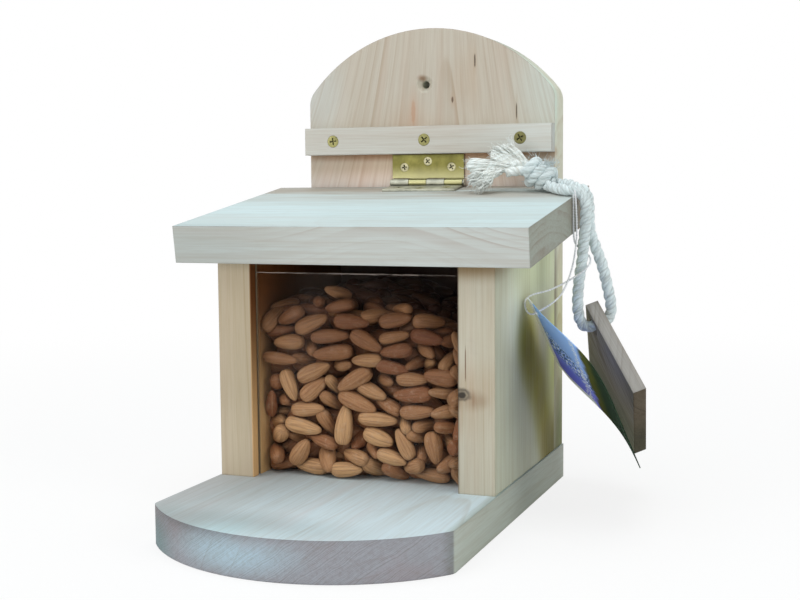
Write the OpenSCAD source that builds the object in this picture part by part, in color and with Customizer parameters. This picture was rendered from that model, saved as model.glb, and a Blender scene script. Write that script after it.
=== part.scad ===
// Wall-hung squirrel feeding station: a timber hopper with a sloping hinged lid, a clear front
// and a bow-fronted feeding ledge, with a rope-hung wooden tag and a card tag over the lid's end.
// Millimetres. X is to the right, Y to the back, Z up; the origin is the middle of the footprint.

/* [Part to show] */
// one node's name, or all of them

/* [Boards] */
// width of the box and the back board
box_w = 171; // [160:1:182]
// thickness of the base, back and lid
board_t = 22; // [19:0.5:25]
// thickness of the two sides
side_t = 21.5; // [19:0.5:24]
// width of the base
base_w = 173; // [162:1:184]
// base from front to back
base_depth = 274; // [260:1:290]
// radius of the base's bowed front
bow_r = 108; // [104:1:120]
// radius of that front's two corners
bow_corner_r = 8; // [6:0.5:10]
// height of the back board's crown above the ground
back_top = 297; // [285:1:315]
// radius of the back board's arch
arch_r = 106; // [102:1:118]
// radius of the arch's rounded shoulders
shoulder_r = 14; // [11:0.5:17]
// side panels from front to back
side_depth = 134; // [125:1:145]
// front height of the side panels above the base
side_front_h = 129; // [125:1:133]
// rear height of the side panels above the base
side_rear_h = 149; // [142:1:158]

/* [Lid] */
// width of the lid
lid_w = 216; // [204:1:230]
// underside of the lid along the slope, from the back board to the front edge
lid_reach = 145.5; // [140:0.5:155]
// air under the closed lid
lid_rest_gap = 0.3; // [0.2:0.05:0.5]
// air behind the closed lid
lid_rear_gap = 1; // [0.8:0.1:1.5]

/* [Window] */
// thickness of the clear pane
pane_t = 3; // [2:0.5:4]
// height of the pane
pane_h = 122; // [112:1:124]
// from the side panels' front edges back to the pane
pane_inset = 6.5; // [5:0.5:9]
// depth of the pane's grooves
groove_deep = 5; // [3:0.5:7]
// play of the pane in its grooves, each side
pane_play = 0.2; // [0.1:0.05:0.5]

/* [Batten] */
// height of the batten
batten_h = 18; // [15:0.5:22]
// thickness of the batten
batten_t = 9; // [7:0.5:11]
// air between the top of the hinge leaf and the batten
batten_gap = 0.4; // [0.2:0.1:1]
// outer batten screws from the middle
batten_screw_x = 65; // [55:1:72]

/* [Hinge] */
// length of the hinge along its pin
hinge_len = 50; // [46:1:56]
// width of a leaf, from the pin to its edge
leaf_w = 18.6; // [17:0.2:21]
// thickness of a leaf
leaf_t = 1.5; // [1.2:0.1:1.8]
// outer radius of the knuckles
knuckle_r = 2.6; // [2.4:0.1:3]
// air round the knuckles, and between one knuckle and the next
knuckle_air = 0.35; // [0.25:0.05:0.5]
// radius of the pin
pin_r = 1.2; // [1:0.1:1.4]
// running clearance of the pin, on the radius
pin_play = 0.05; // [0.03:0.01:0.1]
// thickness of the pin's two heads
pin_head_t = 0.8; // [0.5:0.1:1.2]
// outer hinge screws from the middle
hinge_screw_x = 16.5; // [14:0.5:19]
// outer hinge screws from the pin, as a share of the leaf
outer_screw_up = 0.55; // [0.5:0.01:0.6]
// middle hinge screw from the pin, as a share of the leaf
middle_screw_up = 0.76; // [0.7:0.01:0.8]

/* [Screws] */
// clearance round a screw, on the radius
screw_play = 0.05; // [0.03:0.01:0.1]
// shank radius of the hinge screws
hinge_screw_r = 1.5; // [1.2:0.1:1.8]
// head radius of the hinge screws
hinge_head_r = 2.9; // [2.6:0.1:3.2]
// length of the hinge screws
hinge_screw_len = 14; // [10:1:18]
// shank radius of the wood screws
wood_screw_r = 2; // [1.6:0.1:2.3]
// head radius of the wood screws
wood_head_r = 4; // [3.5:0.1:4.5]
// length of the batten screws
batten_screw_len = 25; // [20:1:28]
// length of the screws through the back and the base
frame_screw_len = 50; // [42:1:56]
// width of the cross cut in each head
slot_w = 0.8; // [0.6:0.1:1]
// turn of the cross in each of the three heads of a row
head_turns = [8, 40, 30]; // [0:1:90]

/* [Hanging hole] */
// radius of the hole
hang_r = 2.5; // [2:0.1:3.5]
// radius of its countersunk mouth
hang_mouth_r = 5.5; // [4.5:0.1:6.5]
// from the crown down to the hole
hang_down = 36.5; // [30:0.5:42]
// from the middle across to the hole
hang_x = -2.5; // [-5:0.5:5]

/* [Nuts] */
// height of the nuts at the pane
nut_front_h = 103; // [95:1:108]
// height of the heap at the back
nut_rear_h = 113; // [105:1:120]
// length of one nut
nut_len = 20; // [18:0.5:22]
// width of one nut
nut_w = 11.6; // [10:0.1:12.4]
// thickness of one nut
nut_t = 9.5; // [8:0.1:11]
// rows of nuts at the pane
nut_rows = 8; // [7:1:9]
// nuts in a full row
nut_columns = 6; // [5:1:6]
// air between the heap and the boards and pane
nut_air = 0.3; // [0.2:0.05:0.6]

/* [Rope and tags] */
// diameter of the rope
rope_d = 7; // [6:0.1:7.2]
// diameter of the card's string
string_d = 1.2; // [0.9:0.1:1.5]
// where the rope crosses the lid's end, forward of the back board
rope_forward = 40; // [38:0.5:44]
// from the lid's end to the knot's middle
knot_in = 27; // [25:0.5:29]
// radius of the knot's middle wrap
knot_wrap_r = 6.6; // [6:0.1:7]
// from one wrap of the knot to the next
knot_pitch = 7.2; // [7:0.1:7.6]
// wooden tag along its hung edge
tag_w = 68; // [62:1:74]
// wooden tag down from that edge
tag_h = 75; // [68:1:82]
// thickness of the wooden tag
tag_t = 8; // [6:0.5:9]
// radius of the rope's hole in the wooden tag
tag_hole_r = 5.2; // [4.6:0.1:5.6]
// that hole from the tag's corner, along
tag_hole_x = 11; // [10:0.5:12]
// that hole from the tag's corner, down
tag_hole_y = 9.5; // [9:0.5:10.5]
// length of the card
card_w = 96; // [88:1:104]
// width of the card
card_h = 68; // [62:1:74]
// thickness of the card
card_t = 0.6; // [0.4:0.1:0.8]
// how far the card's middle bows from flat
card_bow = 4.2; // [0:0.1:5]
// flat length of the card round its hole
card_flat = 14; // [12:0.5:18]
// radius of the string's hole in the card
card_hole_r = 2.2; // [1.8:0.1:2.6]
// that hole from the card's corner, along
card_hole_x = 7.8; // [7:0.1:8.6]
// that hole from the card's corner, across
card_hole_y = 8.85; // [8:0.05:9.6]

/* [Hidden] */
$fn = 64;
crown_fn = 128;
knot_fn = 24;

// places that follow from the sizes
y_rear = base_depth / 2;
y_face = y_rear - board_t;
y_front = y_face - side_depth;
half_w = box_w / 2;
inner = half_w - side_t;
slope = atan((side_rear_h - side_front_h) / side_depth);
lid_z = board_t + side_rear_h + lid_rest_gap / cos(slope);
function lid_top(y) = lid_z + board_t / cos(slope) - (y_face - y) * tan(slope);
pin_off = knuckle_r + knuckle_air;
pin_y = y_face - pin_off;
pin_z = lid_top(pin_y) + pin_off / cos(slope);
knuckle_len = hinge_len / 4;
function hinge_screw_up(i) = (i == 0 ? middle_screw_up : outer_screw_up) * leaf_w;
batten_z = pin_z + leaf_w + batten_gap;
pane_y = y_front + pane_inset;
heap_y = pane_y + pane_t + nut_air + nut_t;
hang_z = back_top - hang_down;
frame_screw_x = half_w - side_t / 2;
frame_screw_sink = 0.5;
back_screws_up = [0.3, 0.8];
base_screws_along = [0.2, 0.75];
rear_screws_out = 0.45;
rope_r = rope_d / 2;
rope_y = y_face - rope_forward;
rope_z = lid_top(rope_y);
knot_back = 16;
knot_up = 12;
knot_turn = [0, 102, 0];
knot_half = 10;
knot_core_r = 6;
knot_x = lid_w / 2 - knot_in;
knot_y = rope_y + knot_back;
knot_z = lid_top(knot_y) + knot_up;

// frames of the hung tags, from the rope's crossing
tag_at = [6.3, 2.2, -66.8];
tag_turn = [-62, 44, -43];
card_at = [-19.29, -39.24, -59.17];
card_turn = [-52, 32, -41];

// edge of the bowed card, along its length and through its thickness; a lag over 1 moves the bow
// to its far end
card_steps = 20;
card_lag = 1.3;
function card_rise(x) = x <= card_flat ? 0
    : card_bow * sin(180 * pow((x - card_flat) / (card_w - card_flat), card_lag));
card_xs = concat([0], [for (i = [0 : card_steps]) card_flat + (card_w - card_flat) * i / card_steps]);
card_edge = concat([for (x = card_xs) [x, card_rise(x)]],
    [for (i = [len(card_xs) - 1 : -1 : 0]) [card_xs[i], card_rise(card_xs[i]) + card_t]]);

// rope from the crossing down, through the wooden tag and back up, from the crossing
loop_route = [[0.5, -4, 3.1], [3.5, -4, 2.2], [6.2, -4, -0.8], [7.5, -4, -5.5], [7.6, -4, -11],
    [7.2, -4, -19], [6.4, -4, -28], [5.2, -3.5, -40], [3.6, -3, -50], [2.7, -2.5, -58], [2.4, -2, -65],
    [2.6, -1, -71.5], [4, 0.6, -77.3], [6.8, 2.2, -80], [10.27, 3.7, -79.5], [13.87, 5.5, -77.9],
    [17.37, 7.3, -76.4], [20.2, 8, -73.2], [21, 6.4, -66.5], [20, 4.8, -59], [18.4, 3.9, -51],
    [16, 3.8, -42], [12.2, 4, -32], [8.6, 4, -22], [7.8, 4, -12], [7.6, 4, -5.5], [6.4, 4, 0.2],
    [3.7, 4, 3.5], [0.5, 4, 4.3]];
// the two strands from the knot to the lid's end
front_route = [[-20, 10.3, 6.4], [-15, 7, 4.9], [-10, 2, 3.9], [-5, -2.6, 3.3], [0.2, -4, 3.1]];
rear_route = [[-20.2, 18, 7.6], [-15, 16.5, 7], [-10, 13, 6.8], [-5, 8.5, 6.4], [0.2, 4, 4.3]];
// string from the rope down to the card, through its hole, up round the front strand and back
string_route = [[1.8, -8.7, 3.4], [2.4, -9, -1], [2.8, -8.8, -9], [3.1, -8.6, -18], [3, -8.8, -27],
    [1.5, -10, -40], [-0.5, -16, -51], [-2.5, -25, -58.5], [-5.5, -32.5, -62.5], [-10, -35.2, -65.7],
    [-13.9, -37.2, -68], [-16.7, -38.4, -69.1], [-19.4, -38.5, -67.6], [-21.1, -37.1, -64.2],
    [-20.9, -35.6, -60.6], [-17.2, -33.1, -57.9], [-9, -26, -55.6], [-2.5, -14.5, -52], [3, -8.9, -48.2],
    [7.6, -7.6, -44.6], [10.2, -4.2, -41], [9.4, 0.2, -37.5], [5.8, 1, -34.2], [2.2, -1.2, -31],
    [0.95, -5, -27.5], [0.9, -7.4, -21], [0.95, -7.9, -13], [0.85, -7.8, -4], [0.8, -7.7, 0.5]];

// frayed ends: outlines across and up, set in from the knot's middle, and where each lies front to back
tail_in = 3;
tail_up_y = 2;
tail_up_t = 9;
tail_down_y = -5;
tail_down_t = 8;
tail_up = [[-10, 6], [-14, -1], [-30, -4], [-44, 1], [-45, 7], [-27, 9], [-27, 16], [-20, 17], [-16, 10]];
tail_down = [[-6, 1], [-12, -1], [-22, -3], [-34, -3.6], [-45, -4.5], [-44, -8.5], [-36, -11],
    [-31, -8.5], [-14, -5], [-6, -4]];

// sweeps: points through a smooth curve, then rings of n sides round it, steps to each span of the route;
// ref is a direction off the route for the rings to start from, first and last are the end headings
function unit(v) = v / norm(v);
function pick(p, i) = p[max(0, min(len(p) - 1, i))];
function curve(a, b, c, d, t) = 0.5 * (2 * b + (c - a) * t + (2 * a - 5 * b + 4 * c - d) * t * t
    + (3 * b - a - 3 * c + d) * t * t * t);
function smooth(p, n) = concat([for (i = [0:len(p) - 2]) for (k = [0:n - 1])
    curve(pick(p, i - 1), p[i], p[i + 1], pick(p, i + 2), k / n)], [p[len(p) - 1]]);
function heading(q, i, first, last) = i == 0 ? first : i == len(q) - 1 ? last : unit(q[i + 1] - q[i - 1]);
function ring(c, t, ref, r, n) = let(u = unit(cross(t, ref)), v = cross(u, t))
    [for (k = [0:n - 1]) c + r * cos(360 * k / n) * u + r * sin(360 * k / n) * v];

module tube(route, r, n, steps, ref, first, last) {
    q = smooth(route, steps);
    m = len(q);
    pts = [for (i = [0:m - 1]) each ring(q[i], heading(q, i, first, last), ref, r, n)];
    side_faces = [for (i = [0:m - 2]) for (k = [0:n - 1])
        each [[i * n + k, (i + 1) * n + k, (i + 1) * n + (k + 1) % n],
              [i * n + k, (i + 1) * n + (k + 1) % n, i * n + (k + 1) % n]]];
    head = [[for (k = [0:n - 1]) k]];
    foot = [[for (k = [0:n - 1]) m * n - 1 - k]];
    polyhedron(points = pts, faces = concat(head, side_faces, foot), convexity = 8);
}

// a solid with the given outline in Y and Z, across X
module across(w, outline) {
    rotate([90, 0, 90]) linear_extrude(height = w, center = true) polygon(outline);
}

// countersunk screw pointing down from its head at the origin, and the hole it fills
module screw(length, shank_r, head_r) {
    slot_half = 0.6 * head_r;
    slot_deep = 1;
    difference() {
        union() {
            translate([0, 0, shank_r - head_r]) cylinder(h = head_r - shank_r, r1 = shank_r, r2 = head_r);
            translate([0, 0, -length]) cylinder(h = length - head_r + shank_r, r = shank_r);
        }
        for (turn = [0, 90])
            rotate([0, 0, turn]) translate([-slot_half, -slot_w / 2, -slot_deep])
                cube([2 * slot_half, slot_w, 2 * slot_deep]);
    }
}

module screw_hole(length, shank_r, head_r) {
    r = shank_r + screw_play;
    h = head_r + screw_play;
    past_tip = 0.5;
    overlap = 0.01;
    way_in = 30;
    translate([0, 0, r - h]) cylinder(h = h - r, r1 = r, r2 = h);
    translate([0, 0, -length - past_tip]) cylinder(h = length + past_tip - (h - r) + overlap, r = r);
    cylinder(h = way_in, r = h);
}

// where each set of screws goes
module at_batten_screws() {
    for (i = [-1, 0, 1])
        translate([i * batten_screw_x, y_face - batten_t, batten_z + batten_h / 2])
            rotate([90, 0, 0]) rotate([0, 0, head_turns[i + 1]]) children();
}

module at_hinge_back_screws() {
    for (i = [-1, 0, 1])
        translate([i * hinge_screw_x, y_face - leaf_t, pin_z + hinge_screw_up(i)])
            rotate([90, 0, 0]) rotate([0, 0, head_turns[i + 1]]) children();
}

module at_hinge_lid_screws() {
    translate([0, pin_y, pin_z]) rotate([slope, 0, 0])
        for (i = [-1, 0, 1])
            translate([i * hinge_screw_x, -hinge_screw_up(i), leaf_t - pin_off])
                rotate([0, 0, head_turns[i + 1]]) children();
}

module at_back_screws() {
    for (x = [-frame_screw_x, frame_screw_x])
        for (z = back_screws_up)
            translate([x, y_rear - frame_screw_sink, board_t + z * side_rear_h])
                rotate([-90, 0, 0]) children();
}

module at_base_screws() {
    for (x = [-frame_screw_x, frame_screw_x])
        for (f = base_screws_along)
            translate([x, y_front + f * side_depth, frame_screw_sink]) rotate([180, 0, 0]) children();
    for (x = [-half_w * rear_screws_out, half_w * rear_screws_out])
        translate([x, y_rear - board_t / 2, frame_screw_sink]) rotate([180, 0, 0]) children();
}

// flat outline: straight sides up from low, an arch of radius r with its crown at top,
// shoulders of radius c
module arched(w, low, top, r, c) {
    x = w / 2 - c;
    z = top - r + sqrt((r - c) * (r - c) - x * x);
    translate([-w / 2, low]) square([w, z - low]);
    intersection() {
        translate([0, top - r]) circle(r = r, $fn = crown_fn);
        polygon([[0, top - r], [2 * x, 2 * z - top + r], [-2 * x, 2 * z - top + r]]);
    }
    translate([x, z]) circle(r = c);
    translate([-x, z]) circle(r = c);
}

module base_board() {
    color([0.84, 0.78, 0.66]) difference() {
        rotate([0, 0, 180]) linear_extrude(height = board_t)
            arched(base_w, -y_rear, y_rear, bow_r, bow_corner_r);
        at_base_screws() screw_hole(frame_screw_len, wood_screw_r, wood_head_r);
    }
}

module back_board() {
    color([0.88, 0.80, 0.68]) difference() {
        translate([0, y_rear, 0]) rotate([90, 0, 0]) linear_extrude(height = board_t)
            arched(box_w, board_t, back_top, arch_r, shoulder_r);
        translate([hang_x, y_rear + 1, hang_z]) rotate([90, 0, 0]) cylinder(h = board_t + 2, r = hang_r);
        translate([hang_x, y_face + hang_mouth_r - hang_r, hang_z]) rotate([90, 0, 0])
            cylinder(h = hang_mouth_r - hang_r, r1 = hang_r, r2 = hang_mouth_r);
        at_batten_screws() screw_hole(batten_screw_len, wood_screw_r, wood_head_r);
        at_hinge_back_screws() screw_hole(hinge_screw_len, hinge_screw_r, hinge_head_r);
        at_back_screws() screw_hole(frame_screw_len, wood_screw_r, wood_head_r);
        at_base_screws() screw_hole(frame_screw_len, wood_screw_r, wood_head_r);
    }
}

// one side panel, with the pane's groove in its inner face; hand is -1 for the left, 1 for the right
module side_panel(hand) {
    difference() {
        translate([hand * (half_w - side_t / 2), 0, 0])
            across(side_t, [[y_front, board_t], [y_face, board_t], [y_face, board_t + side_rear_h],
                [y_front, board_t + side_front_h]]);
        translate([hand > 0 ? inner - 1 : -inner - groove_deep, pane_y - pane_play, board_t - 1])
            cube([groove_deep + 1, pane_t + 2 * pane_play, side_rear_h + 10]);
        at_back_screws() screw_hole(frame_screw_len, wood_screw_r, wood_head_r);
        at_base_screws() screw_hole(frame_screw_len, wood_screw_r, wood_head_r);
    }
}

module left_side() {
    color([0.87, 0.80, 0.64]) side_panel(-1);
}

module right_side() {
    color([0.87, 0.80, 0.64]) side_panel(1);
}

module window_pane() {
    w = 2 * (inner + groove_deep - pane_play);
    color([0.85, 0.92, 0.95, 0.3]) translate([-w / 2, pane_y, board_t]) cube([w, pane_t, pane_h]);
}

module lid_board() {
    y_back = y_face - lid_rear_gap;
    y_tip = y_face - lid_reach * cos(slope);
    z_tip = lid_z - lid_reach * sin(slope);
    color([0.82, 0.80, 0.74]) difference() {
        across(lid_w, [[y_tip, z_tip], [y_back, lid_z - lid_rear_gap * tan(slope)],
            [y_back, lid_top(y_back)], [y_tip - board_t * sin(slope), z_tip + board_t * cos(slope)]]);
        at_hinge_lid_screws() screw_hole(hinge_screw_len, hinge_screw_r, hinge_head_r);
    }
}

module batten() {
    color([0.80, 0.73, 0.65]) difference() {
        translate([-half_w, y_face - batten_t, batten_z]) cube([box_w, batten_t, batten_h]);
        at_batten_screws() screw_hole(batten_screw_len, wood_screw_r, wood_head_r);
    }
}

// a hinge leaf standing up from the pin, its flat on the +Y side; first is the knuckle it starts with
module leaf(first) {
    difference() {
        union() {
            translate([-hinge_len / 2, pin_off - leaf_t, 0]) cube([hinge_len, leaf_t, leaf_w]);
            for (i = [first, first + 2])
                translate([-hinge_len / 2 + i * knuckle_len + knuckle_air / 2, 0, 0]) rotate([0, 90, 0])
                    cylinder(h = knuckle_len - knuckle_air, r = knuckle_r);
        }
        for (i = [1 - first, 3 - first])
            translate([-hinge_len / 2 + i * knuckle_len - knuckle_air / 2, -knuckle_r, -knuckle_r - 1])
                cube([knuckle_len + knuckle_air, 3 * knuckle_r, 2 * knuckle_r + 1 + knuckle_air]);
        translate([-hinge_len / 2 - 1, 0, 0]) rotate([0, 90, 0])
            cylinder(h = hinge_len + 2, r = pin_r + pin_play);
    }
}

module hinge_back_leaf() {
    color([0.78, 0.66, 0.30]) difference() {
        translate([0, pin_y, pin_z]) leaf(1);
        at_hinge_back_screws() screw_hole(hinge_screw_len, hinge_screw_r, hinge_head_r);
    }
}

module hinge_lid_leaf() {
    color([0.78, 0.66, 0.30]) difference() {
        translate([0, pin_y, pin_z]) rotate([slope, 0, 0]) rotate([90, 0, 0])
            mirror([0, 1, 0]) leaf(0);
        at_hinge_lid_screws() screw_hole(hinge_screw_len, hinge_screw_r, hinge_head_r);
    }
}

module hinge_pin() {
    color([0.70, 0.58, 0.26]) translate([0, pin_y, pin_z]) rotate([0, 90, 0]) {
        cylinder(h = hinge_len, r = pin_r, center = true);
        for (s = [-1, 1])
            translate([0, 0, s * (hinge_len + pin_head_t) / 2])
                cylinder(h = pin_head_t, r = 1.7 * pin_r, center = true);
    }
}

module hinge_back_screws() {
    color([0.80, 0.70, 0.36]) at_hinge_back_screws() screw(hinge_screw_len, hinge_screw_r, hinge_head_r);
}

module hinge_lid_screws() {
    color([0.80, 0.70, 0.36]) at_hinge_lid_screws() screw(hinge_screw_len, hinge_screw_r, hinge_head_r);
}

module batten_screws() {
    color([0.80, 0.70, 0.36]) at_batten_screws() screw(batten_screw_len, wood_screw_r, wood_head_r);
}

module back_screws() {
    color([0.80, 0.70, 0.36]) at_back_screws() screw(frame_screw_len, wood_screw_r, wood_head_r);
}

module base_screws() {
    color([0.80, 0.70, 0.36]) at_base_screws() screw(frame_screw_len, wood_screw_r, wood_head_r);
}

// one nut, lying along X: rings of a flat oval between a blunt and a pointed end
module almond() {
    n = 8;
    along = [-0.82, -0.4, 0.1, 0.6];
    full = [0.6, 0.97, 1, 0.62];
    pts = concat([[-nut_len / 2, 0, 0]], [for (j = [0:3]) for (k = [0:n - 1])
        [along[j] * nut_len, full[j] * nut_t * cos(360 * k / n), full[j] * nut_w * sin(360 * k / n)] / 2],
        [[nut_len / 2, 0, 0]]);
    blunt = [for (k = [0:n - 1]) [0, 1 + (k + 1) % n, 1 + k]];
    point = [for (k = [0:n - 1]) [4 * n + 1, 3 * n + 1 + k, 3 * n + 1 + (k + 1) % n]];
    sides = [for (j = [0:2]) for (k = [0:n - 1])
        each [[1 + j * n + k, 1 + j * n + (k + 1) % n, 1 + (j + 1) * n + (k + 1) % n],
              [1 + j * n + k, 1 + (j + 1) * n + (k + 1) % n, 1 + (j + 1) * n + k]]];
    polyhedron(points = pts, faces = concat(blunt, sides, point), convexity = 2);
}

// the heap that fills the hopper behind the nuts at the pane
module almond_heap() {
    wide = inner - nut_air;
    color([0.50, 0.30, 0.16]) across(2 * wide, [[heap_y, board_t], [y_face - nut_air, board_t],
        [y_face - nut_air, board_t + nut_rear_h], [heap_y, board_t + nut_front_h]]);
}

// the nuts that show behind the pane, in staggered rows against the heap
module almonds() {
    nut_tilt = 14;
    nut_turn = 97;
    pitch_x = 2 * (inner - nut_air) / nut_columns;
    pitch_z = nut_front_h / nut_rows;
    color([0.62, 0.38, 0.20])
        for (row = [0:nut_rows - 1])
            for (i = [0:nut_columns - 1 - row % 2])
                translate([(i + 0.5 + 0.5 * (row % 2) - nut_columns / 2) * pitch_x, heap_y - nut_t / 2,
                    board_t + (row + 0.5) * pitch_z])
                    rotate([0, nut_tilt * sin(nut_turn * (i + 2 * row)), 0]) almond();
}

module rope_knot() {
    end_wraps_in = 0.6;
    color([0.88, 0.88, 0.86]) translate([knot_x, knot_y, knot_z]) rotate(knot_turn)
        rotate_extrude($fn = knot_fn) union() {
            for (i = [-1, 0, 1])
                translate([knot_wrap_r - end_wraps_in * abs(i), i * knot_pitch])
                    circle(r = rope_r, $fn = knot_fn);
            translate([0, -knot_half]) square([knot_core_r, 2 * knot_half]);
        }
}

module rope_tails() {
    color([0.90, 0.90, 0.88]) translate([knot_x - tail_in, knot_y, knot_z]) {
        translate([0, tail_up_y, 0]) rotate([90, 0, 0])
            linear_extrude(height = tail_up_t) polygon(tail_up);
        translate([0, tail_down_y, 0]) rotate([90, 0, 0])
            linear_extrude(height = tail_down_t) polygon(tail_down);
    }
}

module rope_over_lid() {
    color([0.88, 0.88, 0.86]) translate([lid_w / 2, rope_y, rope_z]) {
        for (route = [front_route, rear_route])
            tube(route, rope_r, 10, 2, [0, 0, 1], unit(route[1] - route[0]), [1, 0, 0]);
    }
}

module rope_loop() {
    color([0.88, 0.88, 0.86]) translate([lid_w / 2, rope_y, rope_z])
        tube(loop_route, rope_r, 10, 2, [-0.3, 0.9, 0], [1, 0, 0], [-1, 0, 0]);
}

module wood_tag() {
    color([0.52, 0.47, 0.42]) translate([lid_w / 2, rope_y, rope_z] + tag_at) rotate(tag_turn)
        difference() {
            cube([tag_w, tag_h, tag_t]);
            translate([tag_hole_x, tag_hole_y, -1]) cylinder(h = tag_t + 2, r = tag_hole_r);
        }
}

module card_tag() {
    color([0.45, 0.50, 0.62]) translate([lid_w / 2, rope_y, rope_z] + card_at) rotate(card_turn)
        difference() {
            translate([0, card_h, 0]) rotate([90, 0, 0]) linear_extrude(height = card_h) polygon(card_edge);
            translate([card_hole_x, card_hole_y, -1]) cylinder(h = card_t + 2, r = card_hole_r);
        }
}

module tag_string() {
    color([0.95, 0.95, 0.95]) translate([lid_w / 2, rope_y, rope_z])
        tube(string_route, string_d / 2, 8, 3, [-0.7, 0.5, -0.4], [0, 0, -1], [0, 0, 1]);
}

base_board();
back_board();
left_side();
right_side();
window_pane();
lid_board();
batten();
hinge_back_leaf();
hinge_lid_leaf();
hinge_pin();
hinge_back_screws();
hinge_lid_screws();
batten_screws();
back_screws();
base_screws();
almond_heap();
almonds();
rope_knot();
rope_tails();
rope_over_lid();
rope_loop();
wood_tag();
card_tag();
tag_string();
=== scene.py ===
import bpy
import math
import random
import numpy as np
from mathutils import Matrix, Vector


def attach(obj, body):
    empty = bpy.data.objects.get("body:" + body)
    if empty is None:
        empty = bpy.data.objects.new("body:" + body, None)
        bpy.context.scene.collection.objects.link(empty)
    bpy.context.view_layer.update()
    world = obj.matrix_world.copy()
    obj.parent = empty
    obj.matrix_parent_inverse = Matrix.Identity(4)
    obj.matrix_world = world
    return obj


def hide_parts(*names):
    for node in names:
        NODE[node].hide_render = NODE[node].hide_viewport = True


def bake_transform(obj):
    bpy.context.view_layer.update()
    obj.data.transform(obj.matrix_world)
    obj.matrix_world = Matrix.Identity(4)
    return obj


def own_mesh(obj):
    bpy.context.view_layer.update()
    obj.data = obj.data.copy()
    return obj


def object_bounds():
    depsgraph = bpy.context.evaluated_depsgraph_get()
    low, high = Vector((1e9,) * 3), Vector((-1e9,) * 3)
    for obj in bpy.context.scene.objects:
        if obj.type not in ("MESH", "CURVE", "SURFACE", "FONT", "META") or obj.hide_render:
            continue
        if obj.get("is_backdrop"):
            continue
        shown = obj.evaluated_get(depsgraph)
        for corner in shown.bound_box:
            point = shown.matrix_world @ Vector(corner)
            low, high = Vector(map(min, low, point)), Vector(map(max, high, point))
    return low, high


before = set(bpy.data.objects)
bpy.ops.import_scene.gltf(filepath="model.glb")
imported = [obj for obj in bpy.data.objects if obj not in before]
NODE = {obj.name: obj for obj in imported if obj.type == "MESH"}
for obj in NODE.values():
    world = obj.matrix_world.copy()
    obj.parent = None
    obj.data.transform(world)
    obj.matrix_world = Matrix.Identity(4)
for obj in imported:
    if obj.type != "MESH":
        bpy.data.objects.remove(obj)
cad_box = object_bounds()
MM = 0.001

# Places and sizes from the solids, in millimetres
CROSS = np.array([108.0, 75.0, 187.577])
SLOPE = math.radians(8.4894)
LID_REAR_Y = 115.0
LID_REAR_TOP = 193.547
ROPE_RADIUS = 3.5


def lid_top(y):
    return LID_REAR_TOP - (LID_REAR_Y - y) * math.tan(SLOPE)


def add_object(name, data):
    obj = bpy.data.objects.new(name, data)
    bpy.context.collection.objects.link(obj)
    return obj


# Camera at the photograph's place; its turn is azimuth, elevation and roll in degrees
CAMERA_AT = (0.285475, -0.69128, 0.194131)
CAMERA_TURN = (20.814, 5.082, -0.444)
FOCAL_PIXELS = 1283.923
PICTURE_WIDTH = 800
SENSOR_WIDTH = 36


def add_camera():
    turn, lift, roll = (math.radians(angle) for angle in CAMERA_TURN)
    forward = Vector((-math.sin(turn) * math.cos(lift), math.cos(turn) * math.cos(lift), -math.sin(lift)))
    level = Vector((math.cos(turn), math.sin(turn), 0))
    upright = level.cross(forward)
    right = level * math.cos(roll) + upright * math.sin(roll)
    up = upright * math.cos(roll) - level * math.sin(roll)
    data = bpy.data.cameras.new("camera")
    data.sensor_width = SENSOR_WIDTH
    data.lens = FOCAL_PIXELS / PICTURE_WIDTH * SENSOR_WIDTH
    data.clip_start = 0.01
    camera = add_object("camera", data)
    turned = Matrix((right, up, -forward)).transposed().to_4x4()
    turned.translation = Vector(CAMERA_AT)
    camera.matrix_world = turned
    bpy.context.scene.camera = camera


add_camera()
bpy.context.scene.view_settings.view_transform = "Standard"


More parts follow.
